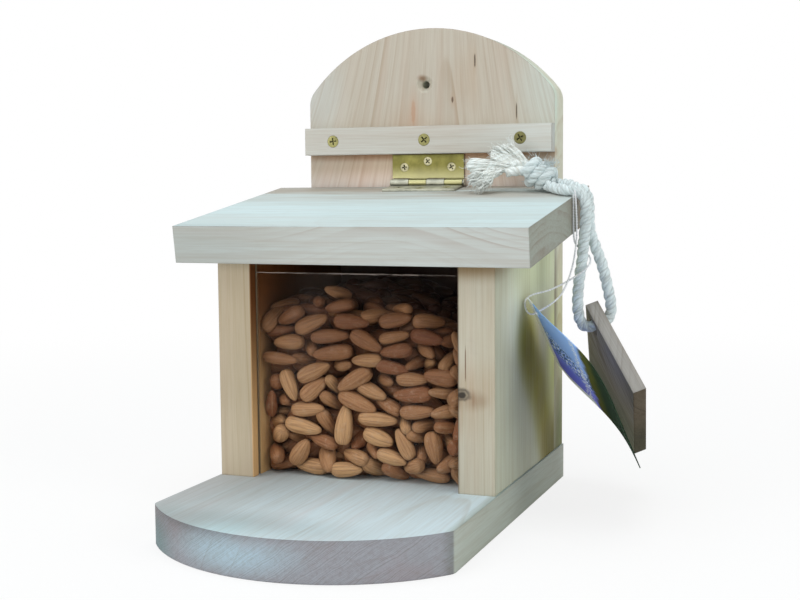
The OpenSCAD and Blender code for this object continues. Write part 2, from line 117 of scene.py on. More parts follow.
# The shader nodes of a material or of the world
class Tree:
    def __init__(self, name, kind="materials", shader="Principled BSDF"):
        self.owner = getattr(bpy.data, kind).new(name)
        self.owner.use_nodes = True
        self.nodes = self.owner.node_tree.nodes
        self.links = self.owner.node_tree.links
        self.shader = self.nodes[shader]

    def node(self, kind, **values):
        node = self.nodes.new(kind)
        for key, value in values.items():
            setattr(node, key, value)
        return node

    def link(self, source, socket):
        self.links.new(source, socket)

    def put(self, socket, value):
        if isinstance(value, bpy.types.NodeSocket):
            self.link(value, socket)
        else:
            socket.default_value = (*value[:3], 1) if socket.type == "RGBA" else value

    def surface(self, name, value):
        self.put(self.shader.inputs[name], value)

    def math(self, operation, a, b=0.0):
        node = self.node("ShaderNodeMath", operation=operation)
        self.put(node.inputs[0], a)
        self.put(node.inputs[1], b)
        return node.outputs[0]

    def times(self, a, b):
        return self.math("MULTIPLY", a, b)

    def plus(self, a, b):
        return self.math("ADD", a, b)

    def minus(self, a, b):
        return self.math("SUBTRACT", a, b)

    def vec(self, operation, a, b=(0, 0, 0)):
        node = self.node("ShaderNodeVectorMath", operation=operation)
        self.put(node.inputs[0], a)
        self.put(node.inputs[1], b)
        return node.outputs["Value" if operation in ("LENGTH", "DOT_PRODUCT") else "Vector"]

    def scaled(self, vector, factors):
        return self.vec("MULTIPLY", vector, factors)

    def reach(self, vector, axis):
        return self.vec("DOT_PRODUCT", vector, axis)

    def mix(self, share, a, b, blend="MIX"):
        node = self.node("ShaderNodeMix", data_type="RGBA", blend_type=blend)
        for index, value in ((0, share), (6, a), (7, b)):
            self.put(node.inputs[index], value)
        return node.outputs[2]

    def noise(self, place, scale, detail=3.0, rough=0.5, output="Fac", kind="3D", socket="Vector"):
        node = self.node("ShaderNodeTexNoise", noise_dimensions=kind)
        self.link(place, node.inputs[socket])
        for name, value in (("Scale", scale), ("Detail", detail), ("Roughness", rough)):
            node.inputs[name].default_value = value
        return node.outputs[output]

    def noise_along(self, value, scale, detail, rough=0.5):
        return self.noise(value, scale, detail, rough, kind="1D", socket="W")

    def span(self, value, lo, hi, out_lo=0.0, out_hi=1.0):
        node = self.node("ShaderNodeMapRange", interpolation_type="SMOOTHSTEP")
        self.put(node.inputs[0], value)
        for socket, number in zip(node.inputs[1:5], (lo, hi, out_lo, out_hi)):
            socket.default_value = number
        return node.outputs[0]

    def coords(self, kind="Object"):
        return self.node("ShaderNodeTexCoord").outputs[kind]

    def joined(self, x, y, z=0.0):
        node = self.node("ShaderNodeCombineXYZ")
        for socket, value in zip(node.inputs, (x, y, z)):
            self.put(socket, value)
        return node.outputs[0]

    # Ambient occlusion, for painted shade in creases and gaps
    def crease_shade(self, distance, samples, **values):
        node = self.node("ShaderNodeAmbientOcclusion", samples=samples, **values)
        node.inputs["Distance"].default_value = distance
        return node.outputs["AO"]

    def bump(self, height, distance, strength=1.0, normal=None):
        node = self.node("ShaderNodeBump")
        node.inputs["Strength"].default_value = strength
        node.inputs["Distance"].default_value = distance
        self.link(height, node.inputs["Height"])
        if normal is not None:
            self.link(normal, node.inputs["Normal"])
        self.surface("Normal", node.outputs[0])

    def rounded(self, radius):
        node = self.node("ShaderNodeBevel", samples=4)
        node.inputs["Radius"].default_value = radius
        return node.outputs[0]


# Grain directions: two axes across the grain and one along it
ALONG_X = ((0, 1, 0), (0, 0, 1), (1, 0, 0))
ALONG_Y = ((1, 0, 0), (0, 0, 1), (0, 1, 0))
ALONG_Z = ((1, 0, 0), (0, 1, 0), (0, 0, 1))
TOP_FACE = (0.6, 0.92)
DIRT = (0.35, 0.31, 0.26)


# Places along the grain axes; a fan narrows the grain towards a middle line above a height
def grain_space(t, place, axes, fan):
    parts = [t.reach(place, axis) for axis in axes]
    if fan:
        middle, height, rate = fan
        grow = t.math("POWER", math.e, t.times(t.minus(parts[2], height), rate))
        parts[0] = t.plus(t.times(t.minus(parts[0], middle), grow), middle)
    return t.joined(*parts), parts[2]


# How far late wood shows in rings round a leaning pith line, which a swell lifts
def late_wood(t, p, along, drawn, pith, lean, pitch, warp, seed, swell, line_from):
    sway = t.vec("SUBTRACT", t.noise(drawn, 24, 2.5, output="Color"), (0.5, 0.5, 0.5))
    sway = t.scaled(sway, (2 * warp, 2 * warp, 0))
    lift = t.times(along, lean[1])
    if swell:
        middle, width, height = swell
        far = t.math("DIVIDE", t.minus(along, middle), width)
        hump = t.math("POWER", math.e, t.times(t.times(far, far), -1.0))
        lift = t.minus(lift, t.times(hump, height))
    slant = t.joined(t.times(along, lean[0]), lift)
    flat = t.vec("ADD", t.scaled(p, (1, 1, 0)), slant)
    across = t.vec("SUBTRACT", t.vec("ADD", flat, sway), (*pith, 0))
    rings = t.plus(t.math("DIVIDE", t.vec("LENGTH", across), pitch), seed)
    rings = t.plus(rings, t.times(t.noise_along(rings, 0.45, 1.0), 1.6))
    part = t.math("FRACT", rings)
    each = t.node("ShaderNodeTexWhiteNoise", noise_dimensions="1D")
    t.link(t.math("FLOOR", rings), each.inputs["W"])
    strength = t.span(each.outputs["Value"], 0.0, 1.0, 0.25, 1.1)
    ramp = t.times(t.span(part, 0.05, 0.92), 0.3)
    line = t.times(t.span(part, line_from, 0.93), 0.7)
    late = t.times(t.plus(ramp, line), t.span(part, 1.0, 0.94))
    uneven = t.span(t.noise(drawn, 46, 2, 0.6), 0.35, 0.68, 0.15, 1.0)
    return t.times(t.times(late, uneven), strength)


# Small ragged marks: place, size, tone, and the tone of a halo or none
def paint_marks(t, colour, place, marks):
    for at, size, tone, halo in marks:
        off = t.vec("DIVIDE", t.vec("SUBTRACT", place, at), size)
        wobble = t.times(t.minus(t.noise(place, 260, 2), 0.5), 0.7)
        far = t.plus(t.vec("LENGTH", off), wobble)
        if halo:
            colour = t.mix(t.span(far, 3.0, 0.9, 0.0, 0.5), colour, halo)
        colour = t.mix(t.span(far, 1.15, 0.6, 0.0, 0.92), colour, tone)
    return colour


# Soft patches of stain, painted shade and painted light: place, size, tone, and how fine where patchy
def paint_shades(t, colour, place, drawn, shades):
    for at, size, tone, *patchy in shades:
        far = t.vec("LENGTH", t.vec("DIVIDE", t.vec("SUBTRACT", place, at), size))
        amount = t.span(far, 1.0, 0.15)
        if patchy:
            patches = t.noise(drawn, patchy[0], 3, 0.6)
            amount = t.times(amount, t.span(patches, 0.36, 0.6, 0.25, 1.0))
        colour = t.mix(amount, colour, tone, "MULTIPLY")
    return colour


# Slanting saw marks on an end face: how fast they change across and up, and their tone
def paint_saw_marks(t, colour, p, seed, saw, showing):
    across, up, tone = saw
    kerf = t.vec("ADD", t.scaled(p, (across, up, 0)), (seed, seed, 0))
    kerf = t.reach(kerf, (1, 1, 0))
    wander = t.times(t.noise(p, 60, 2), 1.4)
    score = t.span(t.noise_along(t.plus(kerf, wander), 5.0, 3.0, 0.7), 0.46, 0.6)
    return t.mix(t.times(score, showing), colour, tone, "MULTIPLY")


# Solid wood: rings, drawn out fibres, and stains, marks, painted shade and painted light at chosen places
def wood(name, axes, pale, dark, pith, lean, pitch, contrast=0.6, warp=0.004, seed=0.0, swell=None,
         stain=None, marks=(), shades=(), end=(0.7, 0.7, 0.7), top=(1, 1, 1), edge=0.0012, fan=None,
         calm=1.0, line_from=0.76, ring=None, ends_at=(0.72, 0.95), faces=(), saw=None):
    t = Tree(name)
    place = t.coords()
    facing = t.coords("Normal")
    upward = t.reach(facing, (0, 0, 1))
    p, along = grain_space(t, place, axes, fan)
    drawn = t.vec("ADD", t.scaled(p, (1, 1, 0.09)), (seed, seed * 0.7, seed * 1.3))
    late = late_wood(t, p, along, drawn, pith, lean, pitch, warp, seed, swell, line_from)
    late = t.times(late, t.span(upward, *TOP_FACE, 1.0, calm))
    fibres = t.noise(t.scaled(p, (1, 1, 0.03)), 1200, 2, 0.6)
    streaks = t.noise(t.scaled(p, (1, 1, 0.022)), 420, 3, 0.65)
    broad = t.noise(drawn, 38, 3, 0.6)
    colour = t.mix(t.times(late, contrast), pale, ring or dark)
    colour = t.mix(t.span(fibres, 0.4, 0.75, 0.0, 0.26), colour, dark)
    colour = t.mix(t.span(streaks, 0.42, 0.72, 0.0, 0.34), colour, dark)
    colour = t.mix(t.span(broad, 0.4, 0.7, 0.0, 0.24), colour, dark)
    if stain:
        fineness, tone, amount = stain
        colour = t.mix(t.span(t.noise(drawn, fineness, 3, 0.6), 0.48, 0.7, 0.0, amount), colour, tone)
    colour = t.mix(t.span(t.noise(p, 70, 4, 0.7), 0.56, 0.8, 0.0, 0.12), colour, DIRT)
    colour = paint_marks(t, colour, place, marks)
    colour = paint_shades(t, colour, place, drawn, shades)
    # Painted light and shade: faces turned one way are made lighter or darker
    for axis, lo, hi, tone in faces:
        colour = t.mix(t.span(t.reach(facing, axis), lo, hi), colour, tone, "MULTIPLY")
    at_end = t.span(t.math("ABSOLUTE", t.reach(facing, axes[2])), *ends_at)
    colour = t.mix(at_end, colour, end, "MULTIPLY")
    if saw:
        showing = t.times(at_end, t.span(upward, 0.6, 0.3))
        colour = paint_saw_marks(t, colour, p, seed, saw, showing)
    # Painted sky light: faces turned up are made lighter and bluer
    colour = t.mix(t.span(upward, *TOP_FACE), colour, top, "MULTIPLY")
    t.surface("Base Color", colour)
    t.surface("Roughness", t.span(fibres, 0.3, 0.7, 0.56, 0.72))
    t.surface("Specular IOR Level", 0.3)
    relief = t.plus(t.times(fibres, 0.8), t.times(late, 0.5))
    t.bump(relief, 0.00016, 0.55, t.rounded(edge))
    return t.owner


# Worn metal with painted shade in its creases; low is two heights and the tone below them
def metal(name, colour, rough, low=None):
    t = Tree(name)
    p = t.coords()
    cloud = t.noise(p, 110, 4, 0.6)
    wear_and_crease_shade = t.mix(t.span(cloud, 0.35, 0.65, 0.0, 0.75), colour, [part * 0.55 for part in colour])
    if low:
        bottom, top, tone = low
        wear_and_crease_shade = t.mix(t.span(t.reach(p, (0, 0, 1)), top, bottom), wear_and_crease_shade, tone)
    # painted shade in creases and recesses
    wear_and_crease_shade = t.mix(t.span(t.crease_shade(0.0016, 8), 0.35, 0.85, 0.88, 0.0), wear_and_crease_shade, (0.02, 0.018, 0.012))
    t.surface("Base Color", wear_and_crease_shade)
    smear = t.span(t.noise(p, 420, 3, 0.6), 0.3, 0.7, rough, rough + 0.12)
    t.surface("Roughness", smear)
    t.surface("Metallic", 1.0)
    fine = t.noise(t.scaled(p, (0.15, 1, 1)), 2600, 2)
    t.bump(fine, 0.00004, 0.35, t.rounded(0.0003))
    return t.owner


# Clear sheet with a faint haze and a broken pale line along its upper edge
def clear_sheet(name):
    t = Tree(name)
    p = t.coords()
    t.surface("Base Color", (0.42, 0.34, 0.3))
    t.surface("IOR", 1.3)
    t.surface("Roughness", t.span(t.noise(p, 60, 4, 0.6), 0.35, 0.7, 0.1, 0.25))
    broken = t.span(t.noise(p, 150, 3, 0.7), 0.42, 0.6, 0.1, 0.6)
    rim = t.times(t.span(t.reach(p, (0, 0, 1)), 0.1432, 0.1438), broken)
    haze = t.span(t.noise(t.scaled(p, (1, 1, 0.5)), 26, 4, 0.65), 0.4, 0.75, 0.004, 0.03)
    t.surface("Alpha", t.math("MAXIMUM", haze, rim))
    return t.owner


# Nut skins: grain and veins along each nut, dust, and painted shade higher up, further back and between
# nuts
def nut_skin(name):
    t = Tree(name)
    tone = t.node("ShaderNodeAttribute", attribute_name="tone").outputs["Fac"]
    uv = t.node("ShaderNodeUVMap", uv_map="along").outputs[0]
    p = t.coords()
    grain = t.noise(t.scaled(uv, (24, 1.6, 1)), 1.0, 3, 0.6)
    veins = t.noise(t.scaled(uv, (9, 1.0, 1)), 1.0, 2, 0.5)
    dust = t.noise(p, 320, 3, 0.6)
    colour = t.mix(tone, (0.29, 0.105, 0.04), (0.62, 0.36, 0.172))
    colour = t.mix(t.span(grain, 0.4, 0.64, 0.0, 0.5), colour, (0.2, 0.078, 0.032))
    colour = t.mix(t.span(veins, 0.55, 0.75, 0.0, 0.35), colour, (0.54, 0.31, 0.16))
    colour = t.mix(t.span(dust, 0.5, 0.75, 0.0, 0.38), colour, (0.56, 0.38, 0.25))
    # Painted shade: darker higher up under the lid and further back from the pane
    high = t.span(t.reach(p, (0, 0, 1)), 0.055, 0.118)
    deep = t.span(t.reach(p, (0, 1, 0)), 0.006, 0.034)
    colour = t.mix(high, colour, (0.44, 0.35, 0.29), "MULTIPLY")
    colour = t.mix(deep, colour, (0.3, 0.22, 0.2), "MULTIPLY")
    # Painted shade in the gaps between the nuts
    shade_between_nuts = t.span(t.crease_shade(0.005, 6, only_local=True), 0.2, 0.75, 0.75, 0.0)
    colour = t.mix(shade_between_nuts, colour, (0.05, 0.02, 0.012))
    t.surface("Base Color", colour)
    t.surface("Roughness", 0.55)
    t.surface("Specular IOR Level", 0.3)
    t.bump(t.plus(grain, t.times(veins, 0.6)), 0.0008, 0.8)
    return t.owner


# Cotton: yarns drawn out along the piece, fuzz and clouds
def cotton(name, colour, shade, yarns, depth):
    t = Tree(name)
    uv = t.node("ShaderNodeUVMap", uv_map="along").outputs[0]
    p = t.coords()
    lines = t.noise(t.scaled(uv, yarns), 1.0, 2, 0.6)
    fuzz = t.noise(p, 1800, 3, 0.6)
    cloud = t.noise(p, 130, 3, 0.6)
    tone = t.mix(t.span(lines, 0.3, 0.62), shade, colour)
    tone = t.mix(t.span(cloud, 0.45, 0.75, 0.0, 0.35), tone, shade)
    t.surface("Base Color", tone)
    t.surface("Roughness", 0.9)
    t.surface("Specular IOR Level", 0.15)
    t.surface("Sheen Weight", 0.25)
    t.surface("Sheen Roughness", 0.5)
    t.bump(t.plus(lines, t.times(fuzz, 0.5)), depth, 0.8)
    return t.owner


# Printed card: plain fields of blue and dark green, a speckled streak and a pale border
CARD_CORNER = (0.08871, 0.03576, 0.12841)
CARD_ALONG, CARD_LONG = (0.64, -0.5563, -0.5299), 0.096
CARD_OVER, CARD_WIDE = (0.089, 0.7387, -0.6682), 0.068


def card_print(name):
    t = Tree(name)
    p = t.coords()
    at = t.vec("SUBTRACT", p, CARD_CORNER)
    along = t.math("DIVIDE", t.reach(at, CARD_ALONG), CARD_LONG)
    over = t.math("DIVIDE", t.reach(at, CARD_OVER), CARD_WIDE)
    colour = t.mix(t.span(over, 0.3, 0.9), (0.28, 0.46, 1.0), (0.165, 0.175, 0.86))
    speck = t.noise(t.scaled(p, (1, 0.5, 1)), 520, 2, 0.6)
    off_streak = t.math("ABSOLUTE", t.minus(t.minus(over, 0.42), t.times(along, 0.35)))
    streak = t.span(off_streak, 0.2, 0.08)
    colour = t.mix(t.times(streak, t.span(speck, 0.52, 0.6)), colour, (0.05, 0.1, 0.22))
    colour = t.mix(t.times(streak, t.span(speck, 0.46, 0.38)), colour, (0.8, 0.9, 1.0))
    cloud = t.noise(p, 90, 3, 0.6)
    slant = t.plus(along, t.times(over, 0.05))
    wave = t.plus(slant, t.times(t.minus(cloud, 0.5), 0.12))
    colour = t.mix(t.span(wave, 0.51, 0.57), colour, (0.075, 0.08, 0.016))
    colour = t.mix(t.span(wave, 0.57, 0.7), colour, (0.012, 0.026, 0.014))
    seam = t.times(t.span(wave, 0.42, 0.46), t.span(wave, 0.51, 0.48))
    dots = t.times(seam, t.span(t.noise(p, 700, 2), 0.45, 0.6))
    colour = t.mix(dots, colour, (0.75, 0.8, 0.95))
    edge = t.math("MINIMUM", along, t.minus(1.0, over))
    edge = t.plus(edge, t.span(along, 0.45, 0.6))
    colour = t.mix(t.span(edge, 0.08, 0.055), colour, (0.86, 0.93, 1.0))
    t.surface("Base Color", colour)
    t.surface("Roughness", 0.8)
    t.surface("Specular IOR Level", 0.05)
    t.surface("Subsurface Weight", 0.9)
    t.surface("Subsurface Radius", (1.0, 1.0, 1.0))
    t.surface("Subsurface Scale", 0.0015)
    t.bump(t.noise(p, 1400, 2), 0.00003, 0.3)
    return t.owner


# A smooth curve through points, in a number of steps from each one to the next
def smooth(points, steps):
    p = np.array(points, float)
    out = []
    for i in range(len(p) - 1):
        a, b, c, d = p[max(i - 1, 0)], p[i], p[i + 1], p[min(i + 2, len(p) - 1)]
        for k in range(steps):
            t = k / steps
            bend = (2 * a - 5 * b + 4 * c - d) * t * t + (3 * b - a - 3 * c + d) * t ** 3
            out.append(0.5 * (2 * b + (c - a) * t + bend))
    out.append(p[-1])
    return np.array(out)


# The line with points about a step apart, and how far along each lies
def even(points, step):
    parts = np.linalg.norm(np.diff(points, axis=0), axis=1)
    run = np.concatenate([[0], np.cumsum(parts)])
    count = max(2, int(round(run[-1] / step)) + 1)
    want = np.linspace(0, run[-1], count)
    return np.stack([np.interp(want, run, points[:, i]) for i in range(3)], axis=1), want


def length(path):
    return float(np.linalg.norm(np.diff(path, axis=0), axis=1).sum())


# The point at a position, in steps, along a row of points
def on_row(points, position):
    j = int(position)
    part = position - j
    return np.array(points[j]) * (1 - part) + np.array(points[j + 1]) * part


# Two directions square to a path, carried along it without a twist
def frames(path):
    ahead = np.gradient(path, axis=0)
    ahead /= np.linalg.norm(ahead, axis=1)[:, None]
    start = np.array([0.0, 1.0, 0.0]) if abs(ahead[0][1]) < 0.8 else np.array([0.0, 0.0, 1.0])
    side = np.cross(ahead[0], start)
    sides = []
    for forward in ahead:
        side = side - forward * np.dot(side, forward)
        side = side / np.linalg.norm(side)
        sides.append(side)
    sides = np.array(sides)
    return sides, np.cross(ahead, sides)


# A mesh gathered bit by bit, with places along each bit and its tone
class Mesh:
    def __init__(self):
        self.verts, self.faces, self.uvs, self.tones = [], [], [], []
        self.count = 0

    def add(self, verts, faces, uvs, tone=0.5):
        self.verts.append(np.asarray(verts, float))
        self.faces += [[self.count + i for i in face] for face in faces]
        self.uvs.append(np.asarray(uvs, float))
        self.tones.append(np.full(len(verts), tone))
        self.count += len(verts)

    def tube(self, path, radius, sides, run, tone=0.5, twist=0.0):
        u, w = frames(path)
        rows = len(path)
        radius = np.broadcast_to(np.asarray(radius, float), (rows,))
        verts, uvs, faces = [], [], []
        for i in range(rows):
            for k in range(sides):
                a = 2 * math.pi * k / sides
                verts.append(path[i] + radius[i] * (math.cos(a) * u[i] + math.sin(a) * w[i]))
                uvs.append((k / sides + twist * run[i], run[i]))
        for i in range(rows - 1):
            for k in range(sides):
                a, b = i * sides + k, i * sides + (k + 1) % sides
                faces.append((a, b, b + sides, a + sides))
        faces.append(tuple(range(sides - 1, -1, -1)))
        faces.append(tuple(range((rows - 1) * sides, rows * sides)))
        self.add(verts, faces, uvs, tone)

    def make(self, name, material):
        mesh = bpy.data.meshes.new(name)
        mesh.from_pydata([tuple(v) for v in np.concatenate(self.verts) * MM], [], self.faces)
        layer = mesh.uv_layers.new(name="along")
        index = np.zeros(len(mesh.loops), dtype=np.int32)
        mesh.loops.foreach_get("vertex_index", index)
        layer.data.foreach_set("uv", np.concatenate(self.uvs)[index].astype(np.float32).ravel())
        tone = mesh.attributes.new("tone", "FLOAT", "POINT")
        tone.data.foreach_set("value", np.concatenate(self.tones).astype(np.float32))
        mesh.polygons.foreach_set("use_smooth", [True] * len(mesh.polygons))
        mesh.update()
        mesh.materials.append(material)
        return add_object(name, mesh)


ROPE = cotton("rope_cotton", (0.76, 0.85, 0.865), (0.52, 0.57, 0.57), (7, 0.05, 1), 0.0004)
FRAY = cotton("frayed_cotton", (0.88, 0.93, 0.92), (0.62, 0.61, 0.55), (4, 0.06, 1), 0.0002)
STRING = cotton("string_cotton", (0.88, 0.89, 0.9), (0.64, 0.66, 0.7), (2, 0.9, 1), 0.0002)
ROPE_LAY, KNOT_LAY, STRING_LAY = 17.5, 15.0, 3.2
STRAND_SIDES, YARN_SIDES, HAIR_SIDES = 12, 7, 4
YARN_POINTS = 15


# Strands that wind round a line, with one whole turn in each lay
def wound(line, run, strands, lay, off):
    u, w = frames(line)
    for s in range(strands):
        a = 2 * math.pi * (s / strands + run / lay)
        yield line + off * (np.cos(a)[:, None] * u + np.sin(a)[:, None] * w)


# Three-strand rope laid along a path; the yarns wind back in each strand
def lay_rope(mesh, path, radius, lay):
    line, run = even(path, 1.1)
    for s, strand in enumerate(wound(line, run, 3, lay, radius * 0.47)):
        mesh.tube(strand, radius * 0.55, STRAND_SIDES, run, 0.5 + 0.1 * s, twist=-1.0 / 9.0)
    return line


def jitter(rng, *spread):
    return np.array([rng.gauss(0, s) for s in spread])


def keep_above_lid(path, clear):
    path[:, 2] = np.maximum(path[:, 2], [lid_top(y) + clear for y in path[:, 1]])


# A hair that bows by chance and thins to its tip; clear is how far it keeps above the lid
def add_hair(mesh, rng, root, tip, bow, thick, run, tone=None, clear=None):
    hair = smooth([root, (root + tip) / 2 + jitter(rng, bow, bow, bow), tip], 4)
    if clear is not None:
        keep_above_lid(hair, clear)
    tone = rng.random() if tone is None else tone
    count = len(hair)
    mesh.tube(hair, np.linspace(*thick, count), HAIR_SIDES, np.linspace(0, run, count), tone)


# Routes of the rope and the string, from where the rope crosses the lid's end
loop_route = [
    [0.5, -4, 3.1], [3.5, -4, 2.2], [6.2, -4, -0.8], [7.5, -4, -5.5], [7.6, -4, -11], [7.2, -4, -19],
    [6.4, -4, -28], [5.2, -3.5, -40], [3.6, -3, -50], [2.7, -2.5, -58], [2.4, -2, -65], [2.6, -1, -71.5],
    [4, 0.6, -77.3], [6.8, 2.2, -80], [10.27, 3.7, -79.5], [13.87, 5.5, -77.9], [17.37, 7.3, -76.4],
    [20.2, 8, -73.2], [21, 6.4, -66.5], [20, 4.8, -59], [18.4, 3.9, -51], [16, 3.8, -42], [12.2, 4, -32],
    [8.6, 4, -22], [7.8, 4, -12], [7.6, 4, -5.5], [6.4, 4, 0.2], [3.7, 4, 3.5], [0.5, 4, 4.3]]
front_route = [[-20, 10.3, 6.4], [-15, 7, 4.9], [-10, 2, 3.9], [-5, -2.6, 3.3], [0.2, -4, 3.1]]
rear_route = [[-20.2, 18, 7.6], [-15, 16.5, 7], [-10, 13, 6.8], [-5, 8.5, 6.4], [0.2, 4, 4.3]]
string_route = [
    [1.8, -8.7, 3.4], [2.4, -9, -1], [2.8, -8.8, -9], [3.1, -8.6, -18], [3, -8.8, -27], [1.5, -10, -40],
    [-0.5, -16, -51], [-2.5, -25, -58.5], [-5.5, -32.5, -62.5], [-10, -35.2, -65.7], [-13.9, -37.2, -68],
    [-16.7, -38.4, -69.1], [-19.4, -38.5, -67.6], [-21.1, -37.1, -64.2], [-20.9, -35.6, -60.6],
    [-17.2, -33.1, -57.9], [-9, -26, -55.6], [-2.5, -14.5, -52], [3, -8.9, -48.2], [7.6, -7.6, -44.6],
    [10.2, -4.2, -41], [9.4, 0.2, -37.5], [5.8, 1, -34.2], [2.2, -1.2, -31], [0.95, -5, -27.5],
    [0.9, -7.4, -21], [0.95, -7.9, -13], [0.85, -7.8, -4], [0.8, -7.7, 0.5]]


# The rope: from the knot over the lid's end, down through the wooden tag and back
def make_rope():
    route = front_route[:-1] + loop_route + rear_route[-2::-1]
    mesh = Mesh()
    line = lay_rope(mesh, smooth(route, 8) + CROSS, ROPE_RADIUS, ROPE_LAY)
    rope = mesh.make("rope", ROPE)
    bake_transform(rope)
    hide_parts("rope_over_lid", "rope_loop")
    return rope, line


# The knot: uneven wraps of the same rope round a core, with loose hairs
def make_knot():
    centre = np.array([82.6, 90.5, 199.8])
    tilt = math.radians(24)
    along = np.array([math.cos(tilt), 0, -math.sin(tilt)])
    up = np.array([math.sin(tilt), 0, math.cos(tilt)])
    out = np.array([0.0, -1.0, 0.0])
    turns = np.linspace(-0.15, 2.62, 150)
    angle = 2 * math.pi * turns + 0.5
    lead = -7.8 + 6.0 * turns + 1.5 * np.sin(angle + 0.6) * np.where(turns < 1.1, 1.0, 0.45)
    wide = 6.6 - 0.62 * turns + 0.4 * np.sin(2 * angle)
    around = np.cos(angle)[:, None] * out * 0.92 + np.sin(angle)[:, None] * up
    path = centre + lead[:, None] * along + wide[:, None] * around
    keep_above_lid(path, 3.6)
    mesh = Mesh()
    lay_rope(mesh, path, ROPE_RADIUS, KNOT_LAY)
    core = [[9.5, -3.5, -5.5], [5, -1, -3], [0, 0.5, 0], [-6, 0, 2.6], [-9, -0.5, 3.2]]
    lay_rope(mesh, smooth(core, 8) + centre, 3.4, KNOT_LAY)
    rng = random.Random(4)
    for i in range(46):
        start = path[rng.randrange(len(path))]
        away = (start - centre) / np.linalg.norm(start - centre)
        away = away + np.array([rng.gauss(0, 0.5), rng.gauss(0, 0.4), abs(rng.gauss(0, 0.5))])
        root = start + away * 2.2
        tip = root + away * rng.uniform(1.5, 4.0)
        add_hair(mesh, rng, root, tip, 0.7, (0.16, 0.07), 5, tone=0.8, clear=0.5)
    for i in range(60):
        root = centre + np.array([rng.gauss(5.0, 2.6), rng.gauss(-3.0, 2.0), rng.gauss(6.2, 1.2)])
        tip = root + np.array([rng.gauss(1.2, 1.6), rng.gauss(-0.6, 1.0), rng.uniform(1.0, 4.6)])
        add_hair(mesh, rng, root, tip, 0.8, (0.17, 0.08), 5, tone=0.9)
    knot = mesh.make("knot", ROPE)
    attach(knot, "lid")
    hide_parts("rope_knot")
    return knot


# A wavy yarn between two points, which opens into hairs towards its tip
def add_yarn(mesh, rng, root, tip, sag, thick, thin, wave, turns, hairs):
    s = np.linspace(0, 1, YARN_POINTS)[:, None]
    middle = (root + tip) / 2 + np.array(sag, float)
    path = (1 - s) ** 2 * root + 2 * s * (1 - s) * middle + s * s * tip
    phase = rng.random() * 6.28
    path[:, 1] += wave * np.sin(s[:, 0] * turns + phase)
    path[:, 2] += wave * np.cos(s[:, 0] * turns + phase) * s[:, 0]
    keep_above_lid(path, thick + 0.2)
    run = np.linspace(0, length(path), YARN_POINTS)
    mesh.tube(path, np.linspace(thick, thin, YARN_POINTS), YARN_SIDES, run, rng.random(), twist=0.12)
    lead = path[-1] - path[-4]
    lead /= np.linalg.norm(lead)
    for k in range(hairs):
        start = path[rng.randrange(8, YARN_POINTS)]
        away = lead + jitter(rng, 0.45, 0.45, 0.45)
        end = start + away * rng.uniform(1.2, 3.4)
        add_hair(mesh, rng, start, end, 0.5, (0.17, 0.07), 4, clear=0.4)


# The frayed ends: the rope's strands open into wavy yarns, and the yarns into hairs
def make_tails():
    rng = random.Random(23)
    mesh = Mesh()
    up_root = [[63.5, 88.5, 204.2], [68, 89.5, 206.2], [73.5, 91, 208.5]]
    up_tips = [[51.6, 88.5, 211.4], [52.0, 89.5, 214.2], [53.4, 91, 217.2], [57.5, 92, 218.6],
               [63.2, 92, 219.3]]
    for i in range(52):
        k = (i + rng.random()) / 52
        tip = on_row(up_tips, k * 3.999)
        root = on_row(up_root, k * 1.999)
        tip += jitter(rng, 0.6, 1.6, 0.5)
        root += jitter(rng, 0.6, 1.0, 0.3)
        add_yarn(mesh, rng, root, tip, (0.6, rng.gauss(0, 0.8), 1.4), 0.78, 0.72, 0.35, 9, 4)
    for i in range(6):
        root = np.array([62.4 + 0.6 * i, 92 + rng.gauss(0, 0.6), 216.0])
        tip = root + [-1.6 + rng.gauss(0, 0.5), 0.4, 6.0 + rng.gauss(0, 0.7)]
        add_yarn(mesh, rng, root, tip, (0.3, 0, 0), 0.4, 0.2, 0.2, 5, 2)
    side_tips = [[37.0, 88.5, 209.4], [36.6, 87.5, 207.2], [37.4, 87, 204.8], [39, 86.5, 202.6]]
    for i in range(54):
        k = (i + rng.random()) / 54
        tip = on_row(side_tips, k * 2.999)
        root = np.array([65 - 4 * k, 88.5, 207.4 - 4.4 * k])
        tip += jitter(rng, 0.8, 1.6, 0.4)
        root += jitter(rng, 0.8, 1.0, 0.3)
        add_yarn(mesh, rng, root, tip, (0, rng.gauss(0, 0.8), 1.6), 0.78, 0.72, 0.4, 10, 4)
    low_tips = [[39.6, 82, 200.4], [39.0, 82, 196.8], [41.5, 81.3, 193.4], [46, 81.3, 191.0],
                [50, 81.6, 192.6], [53, 82.5, 196.0]]
    for i in range(60):
        root = np.array([56, 85.5, 202.2]) + jitter(rng, 1.6, 1.0, 0.8)
        tip = on_row(low_tips, rng.random() * (len(low_tips) - 1))
        tip += jitter(rng, 1.2, 1.8, 0.7)
        sag = (-1.5, rng.gauss(0, 1.2), 1.8 + rng.gauss(0, 0.7))
        add_yarn(mesh, rng, root, tip, sag, 0.66, 0.42, 1.1, 13, 8)
    for start, lift in (([77, 90, 202.6], 0.0), ([78, 92.5, 205.8], 1.4)):
        steps = [[0, 0, 0], [-5, -1, 0.3 + lift * 0.4], [-10, -2, 0.1 + lift], [-15.5, -2.5, -0.6 + lift]]
        lay_rope(mesh, smooth(np.array(start) + np.array(steps), 6), 3.1, KNOT_LAY)
    tails = mesh.make("rope_ends", FRAY)
    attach(tails, "lid")
    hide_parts("rope_tails")
    return tails


